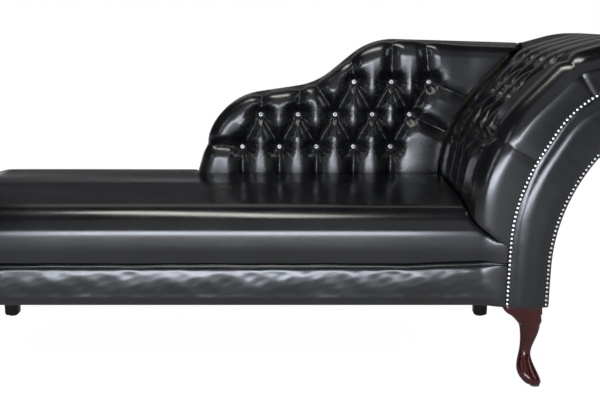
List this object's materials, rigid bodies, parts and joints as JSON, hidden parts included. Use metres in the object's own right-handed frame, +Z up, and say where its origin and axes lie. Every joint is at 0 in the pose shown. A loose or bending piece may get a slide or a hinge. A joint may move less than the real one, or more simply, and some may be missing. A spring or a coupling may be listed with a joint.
{
  "type": "chaise longue",
  "caption": "Chaise longue with a deep-buttoned scroll head, a buttoned curved wing along the back, a sprung padded seat and cabriole front legs.",
  "frame": {"origin": "on the floor, under the middle of the whole", "axes": "+X towards the scroll head end, +Y towards the wing along the back, +Z up"},
  "size_m": [1.915, 0.708, 0.8515],
  "materials": {
    "black_leather": "glossy black upholstery leather with a fine grain",
    "mahogany": "dark red-brown stain under gloss lacquer",
    "dark_wood": "near-black satin stain",
    "frame_timber": "bare planed hardwood",
    "polished_nickel": "polished nickel",
    "spring_steel": "oiled steel",
    "foam": "upholstery foam",
    "canvas": "woven hessian",
    "black_lining": "black non-woven dust cover",
    "nylon": "dark nylon"
  },
  "bodies": {
    "root": {"wing_cover": "black_leather", "head_cover": "black_leather", "seat_cover": "black_leather", "front_band": "black_leather", "foot_band": "black_leather", "back_band": "black_leather", "front_welt": "black_leather", "foot_welt": "black_leather", "outside_back": "black_leather", "outside_head": "black_leather", "front_facing": "black_leather", "facing_return": "black_leather", "front_head_leg": "mahogany", "front_foot_leg": "mahogany", "rear_head_leg": "dark_wood", "rear_foot_leg": "dark_wood", "front_rail": "frame_timber", "back_rail": "frame_timber", "foot_rail": "frame_timber", "head_rail": "frame_timber", "cross_rail_1": "frame_timber", "cross_rail_2": "frame_timber", "corner_blocks": "frame_timber", "front_scroll_board": "frame_timber", "rear_scroll_board": "frame_timber", "head_tack_rail": "frame_timber", "head_middle_rail": "frame_timber", "crest_rail": "frame_timber", "under_roll_rail": "frame_timber", "wing_top_rail": "frame_timber", "wing_post": "frame_timber", "wing_tack_rail": "frame_timber", "wing_stile_1": "frame_timber", "wing_stile_2": "frame_timber", "wing_buttons": "polished_nickel", "head_buttons": "polished_nickel", "inner_nails": "polished_nickel", "outer_nails": "polished_nickel", "seat_springs": "spring_steel", "spring_clips": "spring_steel", "leg_bolts": "spring_steel", "leg_nuts": "spring_steel", "wing_foam": "foam", "head_foam": "foam", "seat_foam": "foam", "seat_canvas": "canvas", "wing_canvas": "canvas", "head_canvas": "canvas", "under_lining": "black_lining", "glides": "nylon"}
  },
  "joints": []
}
